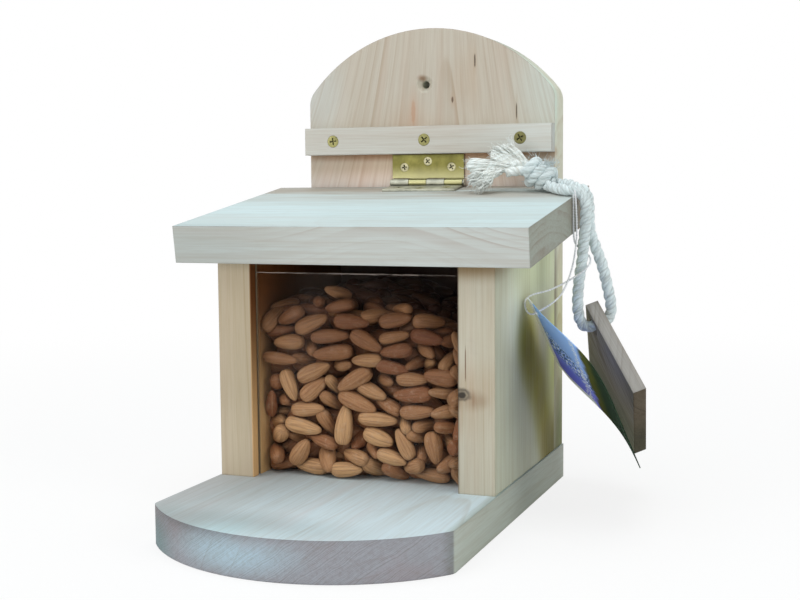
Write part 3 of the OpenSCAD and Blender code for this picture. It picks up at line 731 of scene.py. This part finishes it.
# The thin string of the card: two strands wound round each other
def make_string():
    path, run = even(smooth(string_route, 8) + CROSS, 0.5)
    mesh = Mesh()
    for strand in wound(path, run, 2, STRING_LAY, 0.27):
        mesh.tube(strand, 0.36, YARN_SIDES, run)
    string = mesh.make("string", STRING)
    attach(string, "hung_rope")
    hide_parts("tag_string")
    return string, path


rope, rope_line = make_rope()
knot = make_knot()
tails = make_tails()
string, string_line = make_string()
length(rope_line) * MM
[tuple(p * MM) for p in rope_line[::2]]
length(string_line) * MM
[tuple(p * MM) for p in string_line[::2]]
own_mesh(knot)
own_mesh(tails)

# Limits that the nuts keep to inside the hopper, in millimetres
PANE_BACK = -9.5
NUTS_HALF = 63.7
NUTS_REAR = 114.7
NUTS_FLOOR = 22.1


# A nut along x with half sizes of about 1, and places round and along it
def nut_shape():
    rings, sides = 13, 14
    verts, uvs, faces = [(-1, 0, 0)], [(0, 0)], []
    for i in range(1, rings):
        s = i / rings
        x = -math.cos(math.pi * s)
        full = math.sin(math.pi * s ** 0.84) ** 0.86 * (1.0 - 0.08 * x)
        for k in range(sides):
            a = 2 * math.pi * k / sides
            verts.append((x, full * math.cos(a), full * math.sin(a)))
            uvs.append((k / sides, s))
    verts.append((1, 0, 0))
    uvs.append((0, 1))
    last = len(verts) - 1
    for k in range(sides):
        n = (k + 1) % sides
        faces.append((0, 1 + n, 1 + k))
        faces.append((last, last - sides + k, last - sides + n))
        for i in range(rings - 2):
            a = 1 + i * sides
            faces.append((a + k, a + n, a + n + sides, a + k + sides))
    return np.array(verts), np.array(uvs), faces


NUT_VERTS, NUT_UVS, NUT_FACES = nut_shape()

# Nuts at the pane: judged by eye on the photo, put into millimetres by a scratch script, some changed since
# Across, up, turn in degrees, half length and half width as seen, and how far back
front_nuts = [
    (-29.8, 125.4, 20, 4.7, 3.8, 3), (-15.2, 123.5, 10, 9.2, 4.2, 3), (-18, 131.5, -30, 5.8, 3.7, 3),
    (3.2, 120.7, -10, 8.5, 4.1, 2), (22.9, 122.6, 5, 7.4, 3.6, 2), (40.4, 116.1, -5, 8.2, 4.8, 2),
    (-56.1, 122.3, 10, 6.5, 4, 2), (-59.2, 115.2, 60, 7.2, 5.4, 1), (-45.8, 117.4, 25, 9.9, 4.7, 1),
    (-31.2, 113.7, 22, 11.2, 5.1, 0), (-5.7, 115.3, -3, 10.9, 4.7, 0), (7.4, 118.7, 5, 7.5, 4.1, 2),
    (21.2, 117, 10, 10.2, 4.6, 1), (-53.4, 108.1, 8, 9.5, 4, 1), (-46.6, 102, 5, 10.4, 4.7, 0),
    (-19.2, 106.5, 5, 12.5, 4.4, 0), (3.6, 104.2, -28, 10.6, 4.9, 0), (20.7, 107.1, 12, 9.8, 3.8, 1),
    (40.5, 107.4, -10, 10.2, 4.9, 1), (53.6, 105.2, 0, 4.7, 4.3, 1), (-34.7, 99, -30, 5.9, 4, 2),
    (-17.9, 96.6, 8, 12.5, 4.9, 0), (22.2, 99.2, 8, 10, 4.4, 0), (39.7, 99.7, -20, 6.6, 4, 0),
    (-52.0, 92, -5, 11.6, 3.8, 0), (-39.3, 91.4, -20, 5.5, 4.4, 1), (3.9, 93.1, 3, 9.4, 4.2, 0),
    (-30.2, 85, 25, 11.3, 5, 0), (-12.9, 88.9, 10, 7.3, 3.7, 1), (19.8, 89.4, -8, 10.4, 4.1, 0),
    (32.1, 91.8, 30, 4.2, 3.7, 1), (40.2, 92, 20, 5, 3.5, 2), (52.7, 93.8, 60, 5.4, 4.5, 1),
    (-4.2, 81.2, 30, 11.9, 5.1, 0), (-57.9, 76.1, 40, 5.5, 4.8, 1), (-46, 76.2, -65, 9.9, 4.8, 0),
    (-30.3, 74.8, 40, 9.8, 5.2, 0), (-19.4, 76.5, -80, 6, 3.5, 1), (13.9, 81.2, 0, 6, 4, 1),
    (31.8, 83.1, 0, 9.4, 4.3, 0), (48.9, 85, -5, 10.1, 5.2, 0), (6, 74.7, -20, 10, 4.5, 1),
    (31.8, 74.2, 6, 12.2, 5, 0), (50.6, 76, -5, 8.2, 3.8, 0), (-59.7, 64.1, 75, 8.7, 3.6, 1),
    (-52.1, 66.4, 0, 5.2, 4, 1), (-34.4, 62.3, 5, 11, 4.7, 0), (-21.5, 67.1, -60, 6, 4, 1),
    (-2.5, 68, -20, 12.9, 5.3, 0), (15.4, 66.7, -25, 9, 4.2, 1), (34.9, 64.4, 5, 10.7, 4.4, 0),
    (51.7, 65, 10, 7.9, 4.3, 0), (-52.6, 57.6, -5, 6.2, 3.9, 1), (-24, 54.3, -70, 8.4, 4.3, 1),
    (-11.1, 54.2, 85, 12.1, 5.4, 0), (-37.4, 51.7, -10, 12, 5, 0), (-57.4, 52.3, 10, 6.2, 4.9, 0),
    (10.3, 58.6, -3, 11.9, 4.5, 0), (25.6, 56.8, -50, 5.8, 3.8, 1), (38, 55.7, 5, 5.2, 3.9, 1),
    (53.3, 55.7, -10, 7.3, 3.7, 0), (-54.5, 45.2, 40, 7.2, 5.1, 0), (-45.4, 43.9, -40, 4.6, 3.8, 1),
    (-25.1, 43.4, -15, 9, 4, 1), (-3.8, 44.6, 60, 6, 5.3, 1), (10.6, 47.9, -20, 9.4, 5.3, 0),
    (26.6, 45, -60, 9.9, 4.6, 0), (33.9, 48.8, -30, 5.2, 3.8, 1), (44.9, 44, 100, 9.7, 5.3, 0),
    (54.2, 46.9, -10, 6.6, 3.8, 1), (-57.6, 33.9, -30, 5.6, 4.9, 0), (-51, 37.6, 15, 6.2, 4, 1),
    (-39.7, 36.1, 55, 9.1, 5.2, 0), (-23.1, 32.3, -60, 7.4, 5.6, 0), (-4.6, 35.4, -10, 8.8, 4.5, 0),
    (5.6, 39.5, -30, 5.9, 4.2, 1), (19, 36.6, -15, 9, 4.6, 0), (34.6, 39.7, -60, 4.8, 4.1, 1),
    (31, 31.7, 20, 7.6, 4.7, 0), (-53.8, 27.4, 12, 9.7, 4.2, 0), (-34.9, 27.4, -5, 11.5, 4.8, 0),
    (-9.6, 27.6, 5, 10.2, 4.7, 0), (5.4, 28.6, -45, 6.3, 5.1, 1), (19.6, 27.6, -40, 7.2, 4.6, 1),
    (41, 26.8, -5, 11.6, 4.1, 0), (53.5, 34.8, 30, 6.6, 4.9, 0), (56.8, 27.5, 60, 4.8, 4.4, 1),
    (-16.4, 33.4, 0, 4.3, 3.9, 2)]


# A nut with three half sizes, flipped by chance and kept inside the hopper
def add_nut(mesh, rng, at, axis, side, half, tone=None):
    long, wide, thick = half
    axis = np.array(axis) / np.linalg.norm(axis)
    side = np.array(side) - axis * np.dot(side, axis)
    side /= np.linalg.norm(side)
    up = np.cross(axis, side)
    flip = 1 if rng.random() < 0.5 else -1
    verts = np.array(at) + NUT_VERTS[:, :1] * long * flip * axis
    verts = verts + NUT_VERTS[:, 1:2] * wide * side + NUT_VERTS[:, 2:3] * thick * up
    verts[:, 0] = np.clip(verts[:, 0], -NUTS_HALF, NUTS_HALF)
    verts[:, 1] = np.clip(verts[:, 1], PANE_BACK + 0.25, NUTS_REAR)
    verts[:, 2] = np.maximum(verts[:, 2], NUTS_FLOOR)
    shift = np.array([rng.random() * 7, rng.random() * 7])
    tone = min(1, max(0, rng.gauss(0.52, 0.34))) if tone is None else tone
    faces = NUT_FACES if flip > 0 else [face[::-1] for face in NUT_FACES]
    mesh.add(verts, faces, NUT_UVS + shift, tone)


# Height of the heap's top, which has a crown left of the middle
def heap_top(x, y):
    crown = 9.0 * math.exp(-((x + 14) / 34) ** 2) * min(1, max(0, y / 45))
    return 118.5 - 0.05 * x - max(0, x - 15) * 0.12 + crown + 0.05 * max(0, y)


# A nut at the pane; one that looks short is tilted away from it
class PaneNut:
    def __init__(self, rng, x, z, turn, long, wide, back):
        self.turn = math.radians(turn)
        self.long = max(long, 9.6)
        tilt = math.acos(min(1.0, long / self.long)) if long < 9.0 else rng.gauss(0, 0.08)
        tilt = min(tilt, 1.25)
        tilt *= 1 if rng.random() < 0.6 else -1
        self.wide = wide
        self.thick = min(wide, rng.uniform(3.9, 4.6))
        flat = math.cos(tilt)
        self.axis = np.array([math.cos(self.turn) * flat, math.sin(tilt), math.sin(self.turn) * flat])
        self.back = back
        reach = math.hypot(self.long * self.axis[1], self.thick)
        self.at = np.array([x, PANE_BACK + 0.4 + reach * 0.94 + 1.6 * back, z])

    def points(self, shares):
        return self.at + shares[:, None] * self.long * self.axis


# Each nut is a row of balls; of two that overlap the one further back, or else the narrower, moves back
def settle(nuts):
    shares = np.array([-0.62, -0.3, 0.0, 0.3, 0.62])
    size = np.array([0.62, 0.92, 1.0, 0.92, 0.62])
    for step in range(50):
        for i, nut in enumerate(nuts):
            for other in nuts[:i]:
                if abs(nut.at[0] - other.at[0]) > 24 or abs(nut.at[2] - other.at[2]) > 24:
                    continue
                gap = np.linalg.norm(nut.points(shares)[:, None] - other.points(shares)[None], axis=2)
                own = size[:, None] * (nut.wide + nut.thick) / 2
                deep = (own + size[None] * (other.wide + other.thick) / 2 - gap).max()
                if deep > 0.8:
                    behind = max(other, nut, key=lambda each: (each.back, -each.wide))
                    behind.at[1] = min(behind.at[1] + 0.12 * deep, 14)


# A closed wavy heap behind and under the nuts, in the darkest nut tone as painted shade
def add_heap_core(mesh):
    columns, rise, top = 26, 22, 14
    front, rear, bottom, below = 12.5, 113.5, 22.4, 9
    ring = rise + top + 1
    verts, uvs, faces = [], [], []
    for i in range(columns + 1):
        x = -63 + 126 * i / columns
        for j in range(ring):
            wave = 1.6 * math.sin(i * 1.9 + j) * math.sin(j * 1.3 - i) if 0 < j < ring - 1 else 0
            if j < rise:
                y = front + (wave if 0 < i < columns else 0)
                z = bottom + (heap_top(x, 12) - below - bottom) * j / (rise - 1)
            elif j < rise + top:
                y = front + (rear - front) * (j - rise + 1) / top
                z = heap_top(x, y) - below + wave * 0.6
            else:
                y, z = rear, bottom
            verts.append((x, y, z))
            uvs.append((i * 0.3, j * 0.1))
    for i in range(columns):
        for j in range(ring):
            a, b = i * ring + j, i * ring + (j + 1) % ring
            faces.append((a, a + ring, b + ring, b))
    faces.append(tuple(range(ring)))
    faces.append(tuple(range((columns + 1) * ring - 1, columns * ring - 1, -1)))
    mesh.add(verts, faces, uvs, 0.0)


# Nuts at the pane, at its right end, dark ones behind them as painted shade, and on the heap's top
def make_nuts():
    rng = random.Random(5)
    mesh = Mesh()
    pane_nuts = [PaneNut(rng, *row) for row in front_nuts]
    settle(pane_nuts)
    for nut in pane_nuts:
        side = (-math.sin(nut.turn), rng.gauss(0, 0.15), math.cos(nut.turn))
        add_nut(mesh, rng, nut.at, nut.axis, side, (nut.long, nut.wide, nut.thick))
    for k in range(9):
        at = (60.2, PANE_BACK + 6 + rng.random() * 3, 27 + 9.6 * k)
        axis = (0.3, 0.5, rng.gauss(0, 0.6))
        add_nut(mesh, rng, at, axis, (0, 0.3, 1), (9.5, 4.6, 3.4))
    # A row further back in a dark tone: painted shade in the gaps between the nuts at the pane
    for row in range(10):
        for k in range(8):
            x = -56 + k * 16 + (6 if row % 2 else 0) + rng.gauss(0, 1.5)
            z = 28 + row * 9.6 + rng.gauss(0, 1)
            if x > 58 or z > heap_top(x, 4) - 5:
                continue
            turn = rng.gauss(0, 0.6)
            at = (x, PANE_BACK + 17 + rng.gauss(0, 0.8), z)
            axis = (math.cos(turn), rng.gauss(0, 0.3), math.sin(turn))
            side = (-math.sin(turn), 0.2, math.cos(turn))
            add_nut(mesh, rng, at, axis, side, (10.2, 5.2, 4.4), 0.15)
    for row in range(11):
        y = 7 + row * 9.8
        for k in range(8):
            x = -55 + k * 16.4 + (8 if row % 2 else 0) + rng.gauss(0, 1.5)
            if x > 56:
                continue
            z = heap_top(x, y) - 2.5 + rng.gauss(0, 1.3)
            turn = rng.gauss(0, 0.6)
            at = (x, min(y + rng.gauss(0, 1.2), 104), z)
            axis = (math.cos(turn), math.sin(turn), rng.gauss(0, 0.2))
            side = (-math.sin(turn), math.cos(turn), rng.gauss(0, 0.25))
            half = (rng.uniform(9.4, 11), rng.uniform(4.8, 5.4), rng.uniform(3.9, 4.5))
            add_nut(mesh, rng, at, axis, side, half)
    add_heap_core(mesh)
    nuts = mesh.make("nuts", nut_skin("nut_skin"))
    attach(nuts, "box")
    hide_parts("almond_heap", "almonds")


make_nuts()

# Tones of the boards, with stains, marks, painted shade and painted light on them
ROSE, ROSE_DARK = (0.58, 0.53, 0.45), (0.42, 0.32, 0.23)
TAN, TAN_DARK = (0.54, 0.46, 0.335), (0.41, 0.315, 0.195)
OAT, OAT_DARK = (0.6, 0.57, 0.47), (0.44, 0.36, 0.24)
PALE, PALE_DARK = (0.6, 0.64, 0.62), (0.45, 0.41, 0.35)
PINK = (0.55, 0.41, 0.32)
OLIVE_STAIN_AND_SHADOW = (0.63, 0.565, 0.11)
HOPPER_SHADE = (0.16, 0.1, 0.08)
INNER_WALL_SHADE = (0.22, 0.11, 0.045)
TAG_GRAIN = ((-0.1284, 0.7617, -0.6351), (0.8407, 0.4233, 0.3377), (0.5261, -0.4906, -0.6947))
slits = [
    ((0.0322, 0.115, 0.2751), (0.0006, 0.004, 0.0046), (0.1, 0.07, 0.05), (0.5, 0.4, 0.3)),
    ((0.0168, 0.115, 0.2498), (0.0009, 0.004, 0.0024), (0.14, 0.09, 0.06), (0.5, 0.38, 0.28)),
    ((0.0602, 0.115, 0.2413), (0.0005, 0.004, 0.0058), (0.1, 0.07, 0.05), (0.48, 0.38, 0.28)),
    ((-0.0105, 0.115, 0.243), (0.0016, 0.004, 0.009), (0.52, 0.36, 0.26), (0.56, 0.44, 0.35))]
knots = [
    ((0.0655, -0.019, 0.0782), (0.0072, 0.006, 0.0038), (0.085, 0.075, 0.06), None),
    ((0.0653, -0.019, 0.078), (0.0056, 0.006, 0.0027), (0.4, 0.37, 0.29), None),
    ((0.0662, -0.019, 0.078), (0.0026, 0.006, 0.0021), (0.03, 0.027, 0.024), None),
    ((0.0684, -0.019, 0.0955), (0.0004, 0.006, 0.011), (0.22, 0.14, 0.09), None)]
blush = [
    ((0.07, -0.0195, 0.075), (0.015, 0.003, 0.0085), (0.52, 0.33, 0.21), 90),
    ((0.071, -0.0195, 0.075), (0.028, 0.003, 0.03), (0.82, 0.68, 0.57), 60),
    ((0.075, -0.0195, 0.084), (0.013, 0.003, 0.018), (0.93, 0.8, 0.7), 60)]
# Olive band down the right side's outer face: painted shadow of card, tag and rope, partly an olive stain
olive_stain_and_shadow = [((0.0855, y, z), (0.01, 0.034, 0.032), OLIVE_STAIN_AND_SHADOW)
         for y, z in ((0.048, 0.103), (0.056, 0.088), (0.074, 0.07), (0.088, 0.05), (0.101, 0.03))]
back_shades = [
    # painted shade inside the hopper, below the lid
    ((0, 0.115, 0.12), (0.2, 0.012, 0.075), HOPPER_SHADE),
    ((0, 0.115, 0.205), (0.12, 0.012, 0.022), (1.34, 1.17, 1.06)),
    # painted shadow on the upper wall of the hanging hole's recess
    ((-0.0045, 0.117, 0.265), (0.005, 0.006, 0.0032), (0.62, 0.45, 0.36)),
    # dark olive low on the right edge, yellower above: painted shadow of card and tag, partly an olive
    # stain
    ((0.0855, 0.128, 0.022), (0.004, 0.026, 0.066), (0.28, 0.3, 0.14)),
    ((0.0855, 0.128, 0.09), (0.004, 0.026, 0.08), (0.95, 0.97, 0.75)),
    # painted light: a paler, bluer band just above the lid
    ((0, 0.115, 0.196), (0.2, 0.012, 0.012), (1.25, 1.3, 1.45)),
    # painted shadow under the batten
    ((0, 0.115, 0.215), (0.2, 0.012, 0.006), (0.72, 0.52, 0.4)),
    # painted light on the rounded shoulders, paler and bluer
    ((-0.0855, 0.115, 0.262), (0.035, 0.012, 0.06), (1.08, 1.22, 1.36)),
    ((0.0855, 0.115, 0.258), (0.04, 0.012, 0.055), (1.04, 1.18, 1.26)),
    ((-0.014, 0.115, 0.232), (0.024, 0.012, 0.03), (0.98, 0.89, 0.84), 40),
    ((0.028, 0.115, 0.262), (0.016, 0.012, 0.034), (0.96, 0.88, 0.82), 40)]
left_shades = [
    # painted shade on the inner face of the wall, darkest towards the top under the lid
    ((-0.064, 0.0, 0.15), (0.0012, 0.3, 0.11), INNER_WALL_SHADE),
    ((-0.064, 0.0, 0.07), (0.0012, 0.3, 0.4), (1.3, 0.98, 0.62)),
    # painted shade in the pane's groove
    ((-0.0665, -0.011, 0.085), (0.0035, 0.0045, 0.3), (0.24, 0.16, 0.09)),
    ((-0.075, -0.019, 0.035), (0.03, 0.012, 0.045), (1.13, 1.14, 1.16))]
right_shades = [
    # painted shade inside the hopper, on the inner face of the wall
    ((0.064, 0.05, 0.12), (0.0012, 0.17, 0.26), HOPPER_SHADE),
    # painted shadow of the lid at the top of the post
    ((0.072, -0.019, 0.151), (0.05, 0.045, 0.013), (0.52, 0.39, 0.25)),
    ((0.0855, 0.075, 0.148), (0.01, 0.085, 0.04), (1.28, 1.36, 1.15)),
    # painted light where the card shades the outer face
    ((0.0855, 0.015, 0.12), (0.01, 0.03, 0.03), (1.25, 1.3, 1.4)),
    ((0.0855, 0.115, 0.085), (0.01, 0.03, 0.05), (1.35, 1.42, 0.75)),
    # dark olive low at the rear of the outer face: painted shadow, partly an olive stain
    ((0.0855, 0.11, 0.022), (0.01, 0.04, 0.03), (0.5, 0.46, 0.28))]
lid_shades = [
    ((0, 0.108, 0.19), (0.5, 0.074, 0.2), (0.68, 0.52, 0.44), 70),
    ((-0.108, -0.03, 0.16), (0.11, 0.012, 0.03), (0.84, 0.86, 0.86))]
base_shades = [
    # darker along the base's outer side: painted shade near the ground, partly grime
    ((0.0865, 0, 0.01), (0.006, 0.4, 0.06), (0.7, 0.72, 0.66)),
    ((-0.0865, -0.05, 0.022), (0.11, 0.2, 0.02), (0.71, 0.68, 0.66)),
    ((-0.03, -0.118, 0.0225), (0.095, 0.035, 0.006), (0.76, 0.78, 0.77)),
    # painted light on the left part of the front, paler and bluer
    ((-0.02, -0.132, 0.012), (0.055, 0.035, 0.015), (1.25, 1.58, 1.64)),
    ((-0.08, -0.098, 0.004), (0.036, 0.04, 0.022), (0.6, 0.8, 0.76))]
batten_shades = [
    # painted light at the right end, against the shadow of the frayed ends
    ((0.085, 0.106, 0.224), (0.07, 0.03, 0.04), (1.1, 1.2, 1.26))]
tag_shades = [
    ((0.118, 0.122, 0.066), (0.05, 0.05, 0.04), (0.36, 0.4, 0.25)),
    ((0.136, 0.1, 0.04), (0.05, 0.05, 0.04), (0.45, 0.52, 0.36))]

brass = metal("plated_brass", (0.2, 0.185, 0.056), 0.28, low=(0.1965, 0.2085, (0.4, 0.38, 0.2)))
# The lid leaf and pin: paler than the back leaf, a painted reflection of the sky on metal seen grazing
lid_leaf_metal = metal("leaf_wear_and_painted_reflection", (0.6, 0.6, 0.5), 0.5)
yellow = metal("yellow_screw", (0.21, 0.2, 0.085), 0.28)
bright = metal("bright_screw", (0.46, 0.43, 0.27), 0.28)
looks = {
    # back board: faces is painted light on edges not facing forward; top is painted sky light
    "back_board": wood(
        "back_timber", ALONG_Z, ROSE, ROSE_DARK, pith=(0.012, 0.129), lean=(0.0, -0.03), pitch=0.0075,
        contrast=0.8, stain=(44, PINK, 0.42), marks=slits, shades=back_shades, top=(1.0, 1.08, 1.12),
        fan=(0.012, 0.236, 3.8), faces=[((0, -1, 0), 0.85, 0.35, (1.06, 1.19, 1.16))]),
    "left_side": wood(
        "left_timber", ALONG_Z, TAN, TAN_DARK, pith=(-0.02, 0.02), lean=(0.01, 0.02), pitch=0.005,
        seed=3.1, stain=(40, (0.55, 0.42, 0.33), 0.3), shades=left_shades),
    # right side: faces is painted shade, a greyer outer face
    "right_side": wood(
        "right_timber", ALONG_Z, OAT, OAT_DARK, pith=(0.16, -0.05), lean=(0.02, 0.05), pitch=0.0058,
        warp=0.005, seed=1.7, stain=(40, (0.58, 0.44, 0.33), 0.35), marks=knots,
        shades=olive_stain_and_shadow + blush + right_shades, faces=[((1, 0, 0), 0.6, 0.9, (0.85, 0.935, 0.91))]),
    # lid: top is painted sky light on the upper face
    "lid_board": wood(
        "lid_timber", ALONG_X, PALE, PALE_DARK, pith=(0.02, 0.015), lean=(0.0, 0.03), pitch=0.0056,
        contrast=0.9, warp=0.003, seed=5.2, swell=(0.0275, 0.055, 0.022),
        stain=(44, (0.56, 0.51, 0.46), 0.3), shades=lid_shades, end=(0.52, 0.53, 0.48),
        top=(0.98, 1.12, 1.19), calm=0.12, line_from=0.5, ring=(0.4, 0.31, 0.265)),
    # base: top is painted sky light on the upper face
    "base_board": wood(
        "base_timber", ALONG_Y, PALE, PALE_DARK, pith=(0.06, -0.05), lean=(0.02, 0.05), pitch=0.0065,
        contrast=0.5, warp=0.006, seed=2.3, stain=(40, (0.58, 0.5, 0.46), 0.4), shades=base_shades,
        end=(0.58, 0.565, 0.655), top=(1.04, 1.16, 1.28), ends_at=(0.2, 0.45),
        saw=(200, -280, (0.82, 0.8, 0.77))),
    # batten: top is painted sky light on its upper face
    "batten": wood(
        "batten_timber", ALONG_X, (0.655, 0.645, 0.595), (0.47, 0.39, 0.31), pith=(0.15, 0.17),
        lean=(0.03, 0.06), pitch=0.004, seed=4.4, stain=(40, (0.58, 0.46, 0.38), 0.3),
        shades=batten_shades, top=(1.0, 1.08, 1.12)),
    # tag: faces is painted sky light, a lighter and bluer upper edge
    "wood_tag": wood(
        "tag_timber", TAG_GRAIN, (0.37, 0.325, 0.28), (0.15, 0.115, 0.085), pith=(-0.06, 0.24),
        lean=(0.1, 0.55), pitch=0.0042, contrast=1.0, warp=0.003, seed=6.0,
        stain=(60, (0.22, 0.17, 0.125), 0.5), shades=tag_shades, end=(0.33, 0.285, 0.2), edge=0.0014,
        line_from=0.5, ring=(0.13, 0.095, 0.07),
        faces=[((0.1284, -0.7617, 0.6351), 0.6, 0.9, (1.26, 1.36, 1.46))]),
    "window_pane": clear_sheet("clear_sheet"),
    "card_tag": card_print("printed_card"),
    "hinge_back_leaf": brass, "hinge_lid_leaf": lid_leaf_metal, "hinge_pin": lid_leaf_metal,
    "hinge_back_screws": bright, "hinge_lid_screws": bright,
    "batten_screws": yellow, "back_screws": yellow, "base_screws": yellow,
}
for name, material in looks.items():
    mesh = NODE[name].data
    mesh.materials.clear()
    mesh.materials.append(material)


# Plain soft lights
def add_light(name, place, aim, size, power, colour):
    data = bpy.data.lights.new(name, "AREA")
    data.shape = "DISK"
    data.size = size
    data.energy = power
    data.color = colour
    light = add_object(name, data)
    light.location = place
    light.rotation_euler = (Vector(aim) - Vector(place)).to_track_quat("-Z", "Y").to_euler()


add_light("sky", (-0.3, -0.3, 2.2), (0, 0, 0.1), 2.4, 31, (0.9, 0.97, 1.0))
add_light("front", (-1.2, -1.8, 0.7), (0, 0, 0.14), 1.2, 11, (1.0, 0.98, 0.95))
add_light("right", (1.55, -0.4, 0.8), (0, 0, 0.14), 1.2, 8, (0.97, 1.0, 0.96))

# A white surround, weaker where it only lights the scene
sky = Tree("world", "worlds", "Background")
bpy.context.scene.world = sky.owner
ray = sky.node("ShaderNodeLightPath").outputs
seen = sky.math("MAXIMUM", ray["Is Glossy Ray"], ray["Is Transmission Ray"])
seen = sky.math("MAXIMUM", ray["Is Camera Ray"], seen)
sky.surface("Color", (1, 1, 1))
sky.surface("Strength", sky.span(seen, 0.0, 1.0, 0.42, 1.0))

# A pale floor that turns to plain white further out
FLOOR_HALF = 4
FLOOR_HEIGHT = -0.0003
corners = [(x * FLOOR_HALF, y * FLOOR_HALF, FLOOR_HEIGHT) for x, y in ((-1, -1), (1, -1), (1, 1), (-1, 1))]
floor_mesh = bpy.data.meshes.new("floor")
floor_mesh.from_pydata(corners, [], [(0, 1, 2, 3)])
floor = add_object("floor", floor_mesh)
white = Tree("floor_white")
white.surface("Base Color", (0.9, 0.9, 0.9))
white.surface("Roughness", 0.9)
glow = white.node("ShaderNodeEmission")
glow.inputs["Strength"].default_value = 1.0
far = white.span(white.vec("LENGTH", white.coords()), 0.25, 1.1, 0.8, 1.0)
ray = white.node("ShaderNodeLightPath").outputs
blend = white.node("ShaderNodeMixShader")
white.link(white.times(far, ray["Is Camera Ray"]), blend.inputs[0])
white.link(white.shader.outputs[0], blend.inputs[1])
white.link(glow.outputs[0], blend.inputs[2])
white.link(blend.outputs[0], white.nodes["Material Output"].inputs["Surface"])
floor_mesh.materials.append(white.owner)
floor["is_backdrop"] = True

boxes = {"cad": cad_box, "visual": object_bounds()}
{k: [[float(v) for v in corner] for corner in b] for k, b in boxes.items()}
